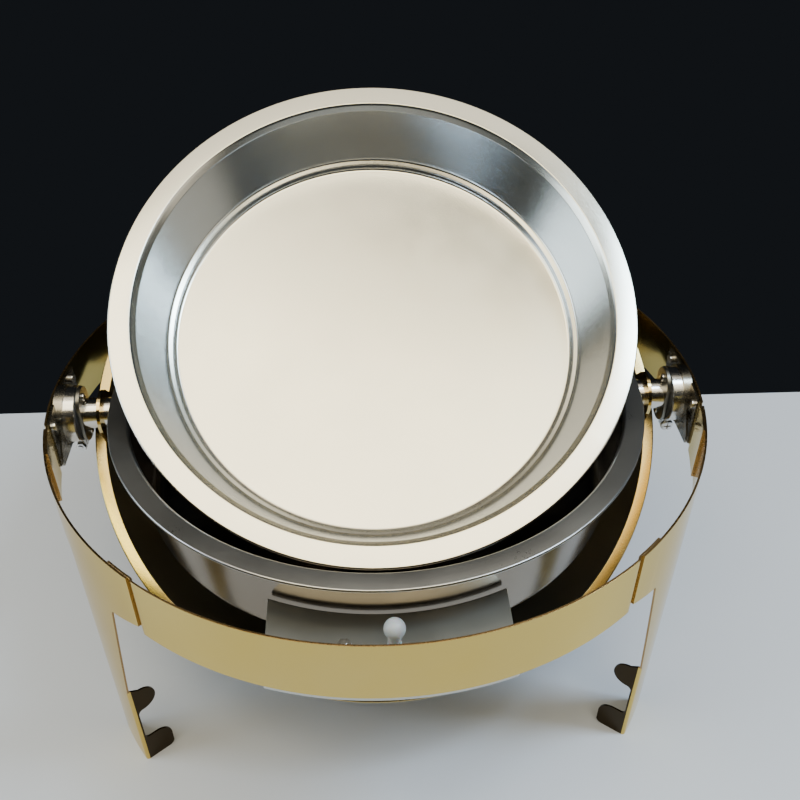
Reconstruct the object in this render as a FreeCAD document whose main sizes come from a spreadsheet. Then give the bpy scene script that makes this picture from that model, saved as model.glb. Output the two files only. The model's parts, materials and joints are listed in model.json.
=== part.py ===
import FreeCAD, Part
import math
import os

import Sketcher

# Round roll-top chafing dish on a bent-sheet stand, in millimetres.
# Frame: origin on the floor under the middle of the stand, +Z up, -Y towards the server's
# front, +X to the right.  The lid rolls about the X line through both hinges.
# The rest position has the lid rolled under the water pan and the food pan leaning in it.

doc = FreeCAD.newDocument("chafing_dish")
sheet = doc.addObject("Spreadsheet::Sheet", "Sheet")

DIMENSIONS = [
    # stand
    ("stand_radius", 250.0), ("stand_height", 265.0), ("stand_sheet", 1.5),
    ("band_depth", 50.5), ("leg_band_depth", 46.0), ("lap_gap", 0.05),
    ("band_half_angle", 39.7), ("lap_half_angle", 44.7), ("joggle_angle", 0.8),
    ("leg_band_start", 40.0), ("side_seam_angle", 79.8), ("side_lap_angle", 73.0),
    ("seam_gap_angle", 0.4),
    ("leg_front_angle", 52.2), ("leg_rear_angle", 61.2), ("leg_corner", 6.0), ("leg_lean", 20.0),
    ("window_drop", 9.0), ("window_span", 52.8),
    ("bend_outside", 2.6), ("bend_inside", 1.1),
    ("lobe_radius", 12.0), ("upper_lobe_reach", 20.5), ("upper_lobe_height", 76.0),
    ("lower_lobe_reach", 25.5), ("lower_lobe_top", 28.0), ("lower_lobe_toe", 5.0),
    ("flange_neck", 4.0), ("notch_corner", 4.0), ("flange_top", 92.0),
    # shelf and lid rest at the front
    ("shelf_level", 222.0), ("shelf_sheet", 1.2), ("shelf_half_width", 79.0),
    ("shelf_inner_radius", 191.5), ("shelf_outer_radius", 248.45), ("shelf_lip", 12.0),
    ("shelf_inner_lip", 5.0),
    ("bumper_reach", 224.5), ("bumper_offset", 2.0), ("bumper_radius", 6.8), ("bumper_top", 254.5),
    ("bumper_stem_radius", 4.4), ("bumper_foot_radius", 6.8), ("bumper_foot", 3.0), ("nut_offset", 29.0),
    ("nut_reach", 217.5), ("nut_flats", 8.0), ("nut_thickness", 4.0),
    # hinges, measured outwards along the hinge line from the middle of the dish
    ("hinge_height", 243.5), ("shaft_radius", 9.0), ("shaft_bore", 6.0), ("hinge_fit", 0.06),
    ("shaft_start", 180.0), ("shaft_end", 245.5), ("sleeve_radius", 12.0), ("sleeve_start", 207.0),
    ("flange_start", 228.4), ("flange_sheet", 3.0), ("flange_half_width", 13.5),
    ("flange_half_height", 23.5), ("flange_screw_pitch", 16.0), ("flange_screw_radius", 1.5),
    ("flange_screw_head", 3.2), ("flange_screw_length", 11.0),
    ("barrel_radius", 22.0), ("barrel_wall", 2.5), ("barrel_start", 231.9), ("barrel_end", 243.9),
    ("rotor_radius", 19.0), ("rotor_end", 242.0), ("socket_radius", 23.4), ("socket_start", 240.6),
    ("socket_floor", 244.0), ("saddle_half_angle", 8.5), ("saddle_low", 221.0), ("saddle_height", 42.0),
    ("saddle_sheet", 2.0), ("gusset_start", 242.6), ("gusset_sheet", 1.6), ("gusset_reach", 34.0),
    ("gusset_low", 24.0), ("gusset_shoulder", 17.0), ("gusset_top_reach", 20.0), ("gusset_top", 9.0),
    ("lug_start", 234.5), ("lug_width", 5.8), ("lug_half_depth", 5.0), ("lug_drop", 33.5),
    ("clamp_gap", 1.2), ("clamp_screw_drop", 28.5), ("clamp_screw_radius", 2.0),
    ("clamp_screw_head", 5.2), ("clamp_head_height", 3.0), ("clamp_nut_flats", 7.0),
    ("clamp_nut_height", 3.2), ("bracket_screw_angle", 7.0), ("bracket_screw_rise", 12.0),
    ("bracket_screw_radius", 2.0), ("bracket_screw_head", 3.6), ("bracket_screw_head_height", 2.2),
    # water pan
    ("water_rim_radius", 206.0), ("water_rim_level", 260.4), ("water_rim_inner", 191.0),
    ("water_floor_radius", 186.0), ("water_depth", 79.0), ("water_sheet", 1.0), ("water_corner", 12.0),
    ("water_bead", 1.5), ("boss_radius", 13.0), ("boss_end", 204.0), ("washer_end", 206.7),
    # lid
    ("lid_offset", 20.0), ("lid_mouth_radius", 219.0), ("lid_rim_radius", 227.5), ("lid_sheet", 1.0),
    ("lid_apex", 214.0), ("lid_rest_turn", -145.0), ("lid_bead", 1.3),
    ("arm_start", 213.7), ("arm_sheet", 2.5), ("arm_hub", 18.0), ("arm_half_width", 22.0),
    ("arm_length", 39.0), ("rivet_pitch", 12.0), ("rivet_height", 30.0), ("rivet_radius", 2.4),
    ("rivet_head", 4.2), ("rivet_head_height", 1.4),
    ("handle_angle", 151.8), ("handle_reach", 249.0), ("handle_radius", 7.0), ("handle_length", 112.0),
    ("post_pitch", 42.0), ("post_radius", 5.0), ("handle_screw_radius", 2.5), ("handle_screw_head", 5.0),
    # food pan
    ("food_rim_radius", 201.0), ("food_mouth_radius", 184.5), ("food_step_radius", 180.5),
    ("food_wall_foot", 167.0), ("food_floor_radius", 162.0), ("food_depth", 61.0), ("food_sheet", 1.2),
    ("food_step", 4.0), ("food_foot_height", 8.0), ("food_lip", 3.0),
    ("food_tilt", 31.9), ("food_back", 19.5), ("food_height", 323.7),
]
for row, (alias, value) in enumerate(DIMENSIONS, start=1):
    sheet.set(f"A{row}", alias.replace("_", " "))
    sheet.set(f"B{row}", str(value))
    sheet.setAlias(f"B{row}", alias)
doc.recompute()

dim = {alias: value for alias, value in DIMENSIONS}
parts = {}


def size(formula):
    """The number that a formula of sheet cells gives."""
    result = sheet.evalExpression(named(formula))
    return float(getattr(result, "Value", result))


def named(formula):
    """A formula with each cell's alias written as a reference to the sheet."""
    words = []
    word = ""
    for letter in str(formula) + " ":
        if letter.isalnum() or letter in "_.":
            word += letter
            continue
        words.append("Sheet." + word if word in dim else word)
        words.append(letter)
        word = ""
    return "".join(words).strip()


def bind(thing, **formulas):
    for name, formula in formulas.items():
        thing.setExpression(name, named(formula))
    return thing


def place(thing, x="0", y="0", z="0", axis=(0, 0, 1), angle="0"):
    """Puts a piece at a point given by formulas, turned about one axis."""
    turn = FreeCAD.Rotation(FreeCAD.Vector(*axis), size(angle))
    thing.Placement = FreeCAD.Placement(FreeCAD.Vector(size(x), size(y), size(z)), turn)
    for name, formula in (("x", x), ("y", y), ("z", z)):
        thing.setExpression("Placement.Base." + name, named(formula))
    return thing


def keep(thing, label):
    thing.Label = label
    parts[label] = thing
    return thing


def origin_feature(body, role):
    return next(item for item in body.Origin.OriginFeatures if item.Role == role)


def arc_middle(start, end, radius, side):
    """Middle point of the short arc between two points; side +1 bulges to the left."""
    chord_x, chord_y = end[0] - start[0], end[1] - start[1]
    chord = math.hypot(chord_x, chord_y)
    rise = radius - math.sqrt(max(radius * radius - chord * chord / 4, 0.0))
    normal = (-chord_y / chord * side, chord_x / chord * side)
    return (start[0] + chord_x / 2 + normal[0] * rise, start[1] + chord_y / 2 + normal[1] * rise)


def outline(body, plane, corners):
    """A closed sketch.  Each corner is (x, y) or (x, y, radius, side), where the last two make
    the run from this corner to the next an arc that bulges to its left (+1) or right (-1)."""
    sketch = body.newObject("Sketcher::SketchObject", body.Name + "_outline")
    sketch.AttachmentSupport = (origin_feature(body, plane), [""])
    sketch.MapMode = "FlatFace"
    points = [(size(corner[0]), size(corner[1])) for corner in corners]
    starts, ends = [], []
    for index, corner in enumerate(corners):
        start = points[index]
        end = points[(index + 1) % len(points)]
        first = FreeCAD.Vector(start[0], start[1], 0)
        last = FreeCAD.Vector(end[0], end[1], 0)
        if len(corner) == 2:
            sketch.addGeometry(Part.LineSegment(first, last), False)
            starts.append((index, 1))
            ends.append((index, 2))
            continue
        middle = arc_middle(start, end, size(corner[2]), corner[3])
        between = FreeCAD.Vector(middle[0], middle[1], 0)
        anticlockwise = corner[3] < 0
        arc = Part.Arc(first, between, last) if anticlockwise else Part.Arc(last, between, first)
        sketch.addGeometry(arc, False)
        starts.append((index, 1 if anticlockwise else 2))
        ends.append((index, 2 if anticlockwise else 1))
    for index in range(len(corners)):
        following = (index + 1) % len(corners)
        sketch.addConstraint(Sketcher.Constraint("Coincident", *ends[index], *starts[following]))
    for index, corner in enumerate(corners):
        for kind, formula, value in (("DistanceX", corner[0], points[index][0]),
                                     ("DistanceY", corner[1], points[index][1])):
            number = sketch.addConstraint(Sketcher.Constraint(kind, -1, 1, *starts[index], value))
            sketch.setExpression(f"Constraints[{number}]", named(formula))
        if len(corner) == 4:
            number = sketch.addConstraint(Sketcher.Constraint("Radius", index, size(corner[2])))
            sketch.setExpression(f"Constraints[{number}]", named(corner[2]))
    return sketch


def turned(name, corners):
    """A piece turned about its own Z axis from an outline of (radius, height) corners."""
    body = doc.addObject("PartDesign::Body", name)
    sketch = outline(body, "XZ_Plane", corners)
    feature = body.newObject("PartDesign::Revolution", name + "_turning")
    feature.Profile = sketch
    feature.ReferenceAxis = (origin_feature(body, "Z_Axis"), [""])
    feature.Angle = 360.0
    sketch.Visibility = False
    return body


def plate(name, plane, corners, thickness, backwards=False):
    """A flat piece cut to an outline on one of its origin planes."""
    body = doc.addObject("PartDesign::Body", name)
    sketch = outline(body, plane, corners)
    feature = body.newObject("PartDesign::Pad", name + "_pad")
    feature.Profile = sketch
    feature.Reversed = backwards
    bind(feature, Length=thickness)
    sketch.Visibility = False
    return body


def round_bar(name, radius, length):
    return bind(doc.addObject("Part::Cylinder", name), Radius=radius, Height=length)


def cut(name, base, tool):
    result = doc.addObject("Part::Cut", name)
    result.Base = base
    result.Tool = tool
    return result


def cut_each(name, base, tools):
    for number, tool in enumerate(tools[:-1], start=1):
        base = cut(f"{name}_step_{number}", base, tool)
    return cut(name, base, tools[-1])


def fuse(name, pieces):
    result = doc.addObject("Part::MultiFuse", name)
    result.Shapes = pieces
    result.Refine = True
    return result


def group(name, pieces):
    result = doc.addObject("Part::Compound", name)
    result.Links = pieces
    return result


def ring_sector(name, outer, inner, low, height, start, sweep):
    """A stretch of upright curved sheet; angles run anticlockwise from +X."""
    solid = bind(doc.addObject("Part::Cylinder", name + "_outside"), Radius=outer, Height=height,
                 Angle=sweep)
    core = bind(doc.addObject("Part::Cylinder", name + "_inside"), Radius=inner, Height=height + " + 2")
    place(solid, z=low, angle=start)
    place(core, z=low + " - 1")
    return cut(name, solid, core)


OUTER = "stand_radius"
INNER = "stand_radius - stand_sheet"
LAP_OUTER = "stand_radius - stand_sheet - lap_gap"
LAP_INNER = "stand_radius - 2 * stand_sheet - lap_gap"


# --- front and rear bands: a curved strip with a joggled tongue at each end -----------------
def band(label, middle):
    low = "stand_height - band_depth"
    strip = ring_sector(label + "_strip", OUTER, INNER, low, "band_depth",
                        f"{middle} - band_half_angle", "2 * band_half_angle")
    lap = "lap_half_angle - band_half_angle + joggle_angle"
    pieces = [strip]
    for end, tongue_start, joggle_start in (
            ("first", f"{middle} - lap_half_angle", f"{middle} - band_half_angle"),
            ("last", f"{middle} + band_half_angle - joggle_angle",
             f"{middle} + band_half_angle - joggle_angle")):
        pieces.append(ring_sector(f"{label}_{end}_tongue", LAP_OUTER, LAP_INNER,
                                  "stand_height - leg_band_depth", "leg_band_depth",
                                  tongue_start, lap))
        pieces.append(ring_sector(f"{label}_{end}_joggle", OUTER, LAP_INNER,
                                  "stand_height - leg_band_depth", "leg_band_depth",
                                  joggle_start, "joggle_angle"))
    keep(fuse(label, pieces), label)


band("front_band", "270")
band("rear_band", "90")


# --- four leg plates: curved top strip, one leg, and a lobed flange bent inwards ------------
def window(name, angle, towards, width, lean, drop):
    """The open space beside a leg, with the rounded corner under the band.  Above the foot
    flange its near side leans away from the leg, and its top sinks by `drop` towards the leg."""
    far = f"{towards} * {width}"
    near = f"{towards} * {lean}"
    ceiling = "stand_height - leg_band_depth"
    corners = [("0", "-5"), ("0", "flange_top"),
               (near, f"{ceiling} - {drop} - leg_corner", "leg_corner", towards),
               (f"{towards} * ({lean} + leg_corner)", f"{ceiling} - {drop}"),
               (f"{towards} * window_span", ceiling), (far, ceiling), (far, "-5")]
    body = plate(name, "YZ_Plane", corners, "stand_radius + 50")
    return place(body, angle=angle)


def lobed_flange(name, angle, backwards):
    """The foot flange in the radial plane: two lobes with a U notch between them."""
    skin = "stand_radius - bend_outside"
    neck = "stand_radius - flange_neck"
    low_tip = "stand_radius - lower_lobe_reach"
    high_mid = "stand_radius - upper_lobe_reach + lobe_radius"
    corners = [
        (skin, "0"),
        (f"{low_tip} + lower_lobe_toe", "0", "lower_lobe_toe", 1),
        (low_tip, "lower_lobe_toe"),
        (low_tip, "lower_lobe_top - lobe_radius", "lobe_radius", 1),
        (f"{low_tip} + lobe_radius", "lower_lobe_top"),
        (f"{neck} - notch_corner", "lower_lobe_top", "notch_corner", -1),
        (neck, "lower_lobe_top + notch_corner"),
        (neck, "upper_lobe_height - lobe_radius - notch_corner", "notch_corner", -1),
        (f"{neck} - notch_corner", "upper_lobe_height - lobe_radius"),
        (high_mid, "upper_lobe_height - lobe_radius", "lobe_radius", 1),
        ("stand_radius - upper_lobe_reach", "upper_lobe_height", "lobe_radius", 1),
        (high_mid, "upper_lobe_height + lobe_radius"),
        (skin, "flange_top"),
    ]
    body = plate(name, "XZ_Plane", corners, "stand_sheet", backwards)
    return place(body, angle=angle)


def bend_rounded(label, sharp, flange, angle, turn):
    """Swaps the sharp corner between a leg and its flange for a bend of even thickness."""
    start = "stand_radius - bend_outside"
    level = f"{turn} * bend_outside"
    room = plate(label + "_bend_room", "XY_Plane", [
        (start, f"{-turn} * 1"), ("stand_radius + 2", f"{-turn} * 1"), ("stand_radius + 2", level),
        (start, level)], "flange_top + 1")
    place(room, z="0 - 1", angle=angle)
    bend = plate(label + "_bend", "XY_Plane", [
        (start, "0", "bend_outside", -turn), ("sqrt(stand_radius ^ 2 - bend_outside ^ 2)", level),
        ("sqrt((stand_radius - stand_sheet) ^ 2 - bend_outside ^ 2)", level, "bend_inside", turn),
        (start, f"{turn} * stand_sheet")], "flange_top")
    place(bend, angle=angle)
    return fuse(label, [cut(label + "_notched", sharp, room), bend, flange])


def leg_plate(label, side, half, lapped):
    """side: -1 left, +1 right.  half: +1 front, -1 rear.  Angles are measured from the front
    or rear middle line towards the hinge side."""
    turn = side * half
    middle = "270" if half > 0 else "90"

    def direction(angle):
        return f"{middle} + {turn} * ({angle})"

    def sector(name, outer, inner, low, height, near, far):
        start = near if turn > 0 else far
        return ring_sector(f"{label}_{name}", outer, inner, low, height,
                           direction(start), f"({far}) - ({near})")

    far_edge = "180 - side_seam_angle - seam_gap_angle" if lapped else "side_seam_angle"
    whole = sector("sheet", OUTER, INNER, "0", "stand_height", "leg_band_start", far_edge)
    opening_front = window(label + "_front_window", direction("leg_front_angle"), -turn, 60,
                           "leg_lean", "window_drop")
    opening_rear = window(label + "_rear_window", direction("leg_rear_angle"), turn, 170,
                          "0", "0")
    trimmed = cut_each(label + "_trimmed", whole, [opening_front, opening_rear])
    flange = lobed_flange(label + "_flange", direction("leg_front_angle"), turn > 0)
    pieces = [trimmed]
    if lapped:
        low = "stand_height - leg_band_depth"
        pieces.append(sector("tongue", LAP_OUTER, LAP_INNER, low, "leg_band_depth",
                             far_edge + " - joggle_angle", "180 - side_lap_angle"))
        pieces.append(sector("joggle", OUTER, LAP_INNER, low, "leg_band_depth",
                             far_edge + " - joggle_angle", far_edge))
    joined = fuse(label + "_joined", pieces) if lapped else trimmed
    keep(bend_rounded(label, joined, flange, direction("leg_front_angle"), turn), label)


for side_name, side in (("left", -1), ("right", 1)):
    leg_plate(f"{side_name}_front_leg", side, 1, False)
    leg_plate(f"{side_name}_rear_leg", side, -1, True)


# --- front shelf: level plate with curved edges, turned down at the band -------------------
shelf_disc = ring_sector("shelf_plate", "shelf_outer_radius", "shelf_inner_radius",
                         "shelf_level - shelf_sheet", "shelf_sheet", "225", "90")
shelf_edge = ring_sector("shelf_skirt", "shelf_outer_radius", "shelf_outer_radius - shelf_sheet",
                         "shelf_level - shelf_lip", "shelf_lip", "225", "90")
shelf_limit = doc.addObject("Part::Box", "shelf_limit")
bind(shelf_limit, Length="2 * shelf_half_width", Width="stand_radius", Height="2 * shelf_lip")
place(shelf_limit, x="0 - shelf_half_width", y="0 - stand_radius", z="shelf_level - 1.5 * shelf_lip")
shelf = doc.addObject("Part::Common", "shelf_blank")
shelf_inside = ring_sector("shelf_inner_turn", "shelf_inner_radius + shelf_sheet", "shelf_inner_radius",
                           "shelf_level - shelf_inner_lip", "shelf_inner_lip", "225", "90")
shelf.Base = fuse("shelf_bent", [shelf_disc, shelf_edge, shelf_inside])
shelf.Tool = shelf_limit


def hexagon(name, flats, height):
    nut = doc.addObject("Part::Prism", name)
    nut.Polygon = 6
    return bind(nut, Circumradius=f"{flats} / sqrt(3)", Height=height)


# The nut stands on the shelf beside the lid rest, with its screw from below.
nut_solid = place(hexagon("nut_solid", "nut_flats", "nut_thickness"), x="0 - nut_offset",
                  y="0 - nut_reach", z="shelf_level + lap_gap")
nut_screw = place(round_bar("nut_screw", "1.9", "nut_thickness + shelf_sheet + 3"), x="0 - nut_offset",
                  y="0 - nut_reach", z="shelf_level - shelf_sheet - 1")
nut_head = place(round_bar("nut_screw_head", "4", "2.4"), x="0 - nut_offset", y="0 - nut_reach",
                 z="shelf_level - shelf_sheet - 2.4 - lap_gap")
nut_hole = place(round_bar("nut_hole", "2", "40"), x="0 - nut_offset", y="0 - nut_reach",
                 z="shelf_level - 20")
bumper_hole = place(round_bar("bumper_hole", "2", "40"), x="bumper_offset", y="0 - bumper_reach",
                    z="shelf_level - 20")
keep(cut_each("front_shelf", shelf, [nut_hole, bumper_hole]), "front_shelf")
keep(cut("shelf_nut", nut_solid, place(round_bar("nut_bore", "2", "20"), x="0 - nut_offset",
                                       y="0 - nut_reach", z="shelf_level - 5")), "shelf_nut")
keep(fuse("shelf_screw", [nut_screw, nut_head]), "shelf_screw")

# Mushroom-shaped silicone rest for the closed lid, on a screw from below.
bumper = turned("shelf_bumper", [
    ("1.6", "0"), ("bumper_foot_radius", "0"), ("bumper_foot_radius", "bumper_foot"),
    ("bumper_stem_radius", "bumper_foot + 1.5"),
    ("bumper_stem_radius", "bumper_top - shelf_level - 2 * bumper_radius + 1.5"),
    ("bumper_radius", "bumper_top - shelf_level - bumper_radius", "bumper_radius", -1),
    ("0", "bumper_top - shelf_level"), ("0", "12"), ("1.6", "12")])
place(bumper, x="bumper_offset", y="0 - bumper_reach", z="shelf_level + lap_gap")
keep(bumper, "shelf_bumper")
bumper_pin = place(round_bar("bumper_pin", "1.55", "shelf_sheet + 12"), x="bumper_offset",
                   y="0 - bumper_reach", z="shelf_level - shelf_sheet - 1")
bumper_head = place(round_bar("bumper_pin_head", "3.5", "2.2"), x="bumper_offset", y="0 - bumper_reach",
                    z="shelf_level - shelf_sheet - 2.2 - lap_gap")
keep(fuse("bumper_screw", [bumper_pin, bumper_head]), "bumper_screw")


# --- water pan: rolled rim, tapered wall, rounded corner, flat floor ------------------------
deep = "0 - water_depth"
water_pan = turned("water_pan", [
    ("0", f"{deep} - water_sheet"),
    ("water_floor_radius - water_corner", f"{deep} - water_sheet", "water_corner + water_sheet", -1),
    ("water_floor_radius + water_sheet", f"{deep} + water_corner"),
    ("water_rim_inner", "0 - water_sheet - 1.5"),
    ("water_rim_inner + 1", "0 - water_sheet"),
    ("water_rim_radius - 2 * water_bead", "0 - water_sheet"),
    ("water_rim_radius - 2 * water_bead", "0 - 2 * water_bead + 0.4", "water_bead", -1),
    ("water_rim_radius - water_bead + 0.6", "0 - 2 * water_bead + 0.3"),
    ("water_rim_radius", "0 - water_bead", "water_bead", -1),
    ("water_rim_radius - water_bead", "0"),
    ("water_rim_inner", "0"),
    ("water_rim_inner - water_sheet", "0 - 1.5"),
    ("water_floor_radius", f"{deep} + water_corner", "water_corner", 1),
    ("water_floor_radius - water_corner", deep),
    ("0", deep)])
place(water_pan, z="water_rim_level")
keep(water_pan, "water_pan")


# --- food pan: wide flat rim, step under it, tapered wall with a foot step ------------------
low = "0 - food_depth"
foot = "0 - food_depth + food_foot_height"
food_pan = turned("food_pan", [
    ("0", f"{low} - food_sheet"),
    ("food_floor_radius - 3", f"{low} - food_sheet", "3 + food_sheet", -1),
    ("food_floor_radius + food_sheet", f"{low} + 3"),
    ("food_floor_radius + food_sheet + 0.3", f"{foot} - 3"),
    ("food_wall_foot + food_sheet", f"{foot} - 0.8"),
    ("food_step_radius + food_sheet", "0 - food_step - 1.6"),
    ("food_mouth_radius + food_sheet * 0.6", "0 - food_sheet"),
    ("food_rim_radius - food_sheet", "0 - food_sheet"),
    ("food_rim_radius - food_sheet", "0 - food_lip"),
    ("food_rim_radius", "0 - food_lip"),
    ("food_rim_radius", "0 - 1", "1", -1),
    ("food_rim_radius - 1", "0"),
    ("food_mouth_radius + 1", "0", "3", -1),
    ("food_mouth_radius", "0 - 0.5"),
    ("food_step_radius", "0 - food_step - 1"),
    ("food_wall_foot", f"{foot} - 0.2"),
    ("food_floor_radius + 0.3", f"{foot} - 2.4"),
    ("food_floor_radius", f"{low} + 3", "3", 1),
    ("food_floor_radius - 3", low), ("0", low)])
place(food_pan, y="food_back", z="food_height", axis=(1, 0, 0), angle="food_tilt")
keep(food_pan, "food_pan")


# --- lid: dome and flat rim with a rolled edge, drawn level and turned to the rest position --
DOME_CENTRE = "(lid_mouth_radius ^ 2 + lid_offset ^ 2 - lid_apex ^ 2) / (2 * (lid_offset - lid_apex))"
DOME_RADIUS = f"(lid_apex - ({DOME_CENTRE}))"
OUTSIDE_RADIUS = f"({DOME_RADIUS} + lid_sheet)"


def lid_place(thing, x="0"):
    return place(thing, x=x, z="hinge_height", axis=(1, 0, 0), angle="lid_rest_turn")


def dome_ball(name, radius):
    ball = bind(doc.addObject("Part::Sphere", name), Radius=radius)
    return place(ball, z=DOME_CENTRE)


def crosswise(thing, x, y, z):
    """Lays a piece made along Z with its length along X, starting at x."""
    return place(thing, x=x, y=y, z=z, axis=(0, 1, 0), angle="90")


below = bind(doc.addObject("Part::Cylinder", "dome_mouth"), Radius="2 * lid_rim_radius",
             Height="2 * lid_rim_radius")
place(below, z="lid_offset + lid_sheet - 2 * lid_rim_radius")
dome = cut("lid_dome", cut("dome_skin", dome_ball("dome_outside", OUTSIDE_RADIUS),
                           dome_ball("dome_inside", DOME_RADIUS)), below)

edge = "lid_rim_radius - lid_bead"
lid_rim = turned("lid_rim", [
    ("lid_mouth_radius", "lid_offset"),
    (edge, "lid_offset"),
    ("lid_rim_radius - 0.293 * lid_bead", "lid_offset + 0.293 * lid_bead"),
    ("lid_rim_radius", "lid_offset + lid_bead"),
    ("lid_rim_radius - 0.293 * lid_bead", "lid_offset + 1.707 * lid_bead"),
    (edge, "lid_offset + 2 * lid_bead"),
    (edge, "lid_offset + lid_sheet"),
    ("lid_mouth_radius", "lid_offset + lid_sheet")])
keep(lid_place(lid_rim), "lid_rim")

# Lid arms inside the dome: a hub round the hinge, a flared blade and two rivets each.
dome_holes = []
for side_name, side in (("left", -1), ("right", 1)):
    blade = plate(f"{side_name}_arm_blade", "YZ_Plane", [
        ("arm_hub", "0", "arm_hub", 1), ("0", "0 - arm_hub", "arm_hub", 1), ("0 - arm_hub", "0"),
        ("0 - arm_half_width", "arm_length * 0.6"), ("0 - arm_half_width", "arm_length + 15"),
        ("arm_half_width", "arm_length + 15"), ("arm_half_width", "arm_length * 0.6")], "arm_sheet")
    place(blade, x="arm_start" if side > 0 else "0 - arm_start - arm_sheet")
    inside_dome = doc.addObject("Part::Common", f"{side_name}_arm_trimmed")
    inside_dome.Base = blade
    inside_dome.Tool = dome_ball(f"{side_name}_arm_limit", f"{DOME_RADIUS} - lap_gap")
    hub_hole = crosswise(round_bar(f"{side_name}_arm_hub_hole", "sleeve_radius + lap_gap", "20"),
                         f"{side} * arm_start - 10", "0", "0")
    openings = [hub_hole]
    rivets = []
    for row, along in (("front", -1), ("rear", 1)):
        name = f"{side_name}_{row}_rivet"
        spot = (f"{along} * rivet_pitch", "rivet_height")
        inner = "arm_start - rivet_head_height - lap_gap"
        shank_start = f"{side} * ({inner})" if side > 0 else "0 - arm_start - 7"
        shank = crosswise(round_bar(name + "_shank", "rivet_radius", f"arm_start + 7 - ({inner})"),
                          shank_start, *spot)
        head_start = f"{inner}" if side > 0 else "0 - arm_start + lap_gap"
        head = crosswise(round_bar(name + "_head", "rivet_head", "rivet_head_height"), head_start, *spot)
        tail_start = "arm_start + 1" if side > 0 else "0 - arm_start - 7"
        tail = crosswise(round_bar(name + "_tail", "rivet_head", "6"), tail_start, *spot)
        formed = cut(name + "_formed", tail, dome_ball(name + "_dome", f"{OUTSIDE_RADIUS} + lap_gap"))
        rivets.append(fuse(name, [shank, head, formed]))
        hole = crosswise(round_bar(name + "_hole", "rivet_radius + lap_gap", "40"),
                         f"{side} * arm_start - 20", *spot)
        openings.append(hole)
        dome_holes.append(hole)
    arm = cut_each(f"{side_name}_lid_arm", inside_dome, openings)
    keep(lid_place(arm), f"{side_name}_lid_arm")
    keep(lid_place(group(f"{side_name}_arm_rivets", rivets)), f"{side_name}_arm_rivets")

# Grip bar on two posts, near the lid's front edge, with a screw from inside into each post.
HANDLE_REST = "handle_angle + lid_rest_turn"
bar = turned("lid_handle", [
    ("0", "0"), ("handle_radius - 2", "0", "2", -1), ("handle_radius", "2"),
    ("handle_radius", "handle_length - 2", "2", -1), ("handle_radius - 2", "handle_length"),
    ("0", "handle_length")])
crosswise(bar, "0 - handle_length / 2", f"handle_reach * cos({HANDLE_REST})",
          f"hinge_height + handle_reach * sin({HANDLE_REST})")
keep(bar, "lid_handle")


def outwards(thing, side, reach):
    """Stands a piece at a distance from the hinge line, pointing at the grip bar."""
    return place(thing, x=f"{side} * post_pitch", y=f"({reach}) * cos(handle_angle)",
                 z=f"({reach}) * sin(handle_angle)", axis=(1, 0, 0), angle="handle_angle - 90")


bar_room = crosswise(round_bar("bar_room", "handle_radius + lap_gap", "2 * handle_length"),
                     "0 - handle_length", "handle_reach * cos(handle_angle)",
                     "handle_reach * sin(handle_angle)")
posts, screws, bores = [], [], []
for side_name, side in (("left", -1), ("right", 1)):
    post = round_bar(f"{side_name}_post_bar", "post_radius", "45")
    posts.append(outwards(post, side, "handle_reach - 45"))
    shank = outwards(round_bar(f"{side_name}_handle_screw_shank", "handle_screw_radius", "18"), side,
                     "handle_reach - 42")
    cap = outwards(round_bar(f"{side_name}_handle_screw_cap", "handle_screw_head", "8"), side,
                   "handle_reach - 40")
    bore = outwards(round_bar(f"{side_name}_post_bore", "handle_screw_radius + lap_gap", "20"), side,
                    "handle_reach - 43")
    trimmed = doc.addObject("Part::Common", f"{side_name}_handle_screw_seat")
    trimmed.Base = cap
    trimmed.Tool = dome_ball(f"{side_name}_handle_screw_dome", f"{DOME_RADIUS} - lap_gap")
    screws.append(fuse(f"{side_name}_handle_screw", [trimmed, shank]))
    bores.append(bore)
    dome_holes.append(bore)
post_limits = [dome_ball("post_dome", f"{OUTSIDE_RADIUS} + lap_gap"), bar_room, *bores]
keep(lid_place(cut_each("handle_posts", group("post_bars", posts), post_limits)), "handle_posts")
keep(lid_place(group("handle_screws", screws)), "handle_screws")
keep(lid_place(cut_each("lid_shell", dome, dome_holes)), "lid_shell")


# --- hinges: everything is drawn outwards from the middle of the dish along the hinge line ---
def on_hinge(thing, side, y="0", rise="0", start="0"):
    """Lays a piece made along Z on the hinge line, pointing outwards."""
    return place(thing, x=f"{side} * ({start})", y=y, z=f"hinge_height + ({rise})", axis=(0, 1, 0),
                 angle=f"{side} * 90")


def ring_on_hinge(name, side, inner, outer, start, end):
    body = turned(name, [(inner, start), (outer, start), (outer, end), (inner, end)])
    return on_hinge(body, side)


def pan_wall_room(name):
    cone = doc.addObject("Part::Cone", name)
    bind(cone, Radius1="water_floor_radius + water_sheet + lap_gap", Radius2="water_rim_inner + lap_gap",
         Height="water_depth - water_corner - 2.5")
    return place(cone, z="water_rim_level - water_depth + water_corner")


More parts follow.
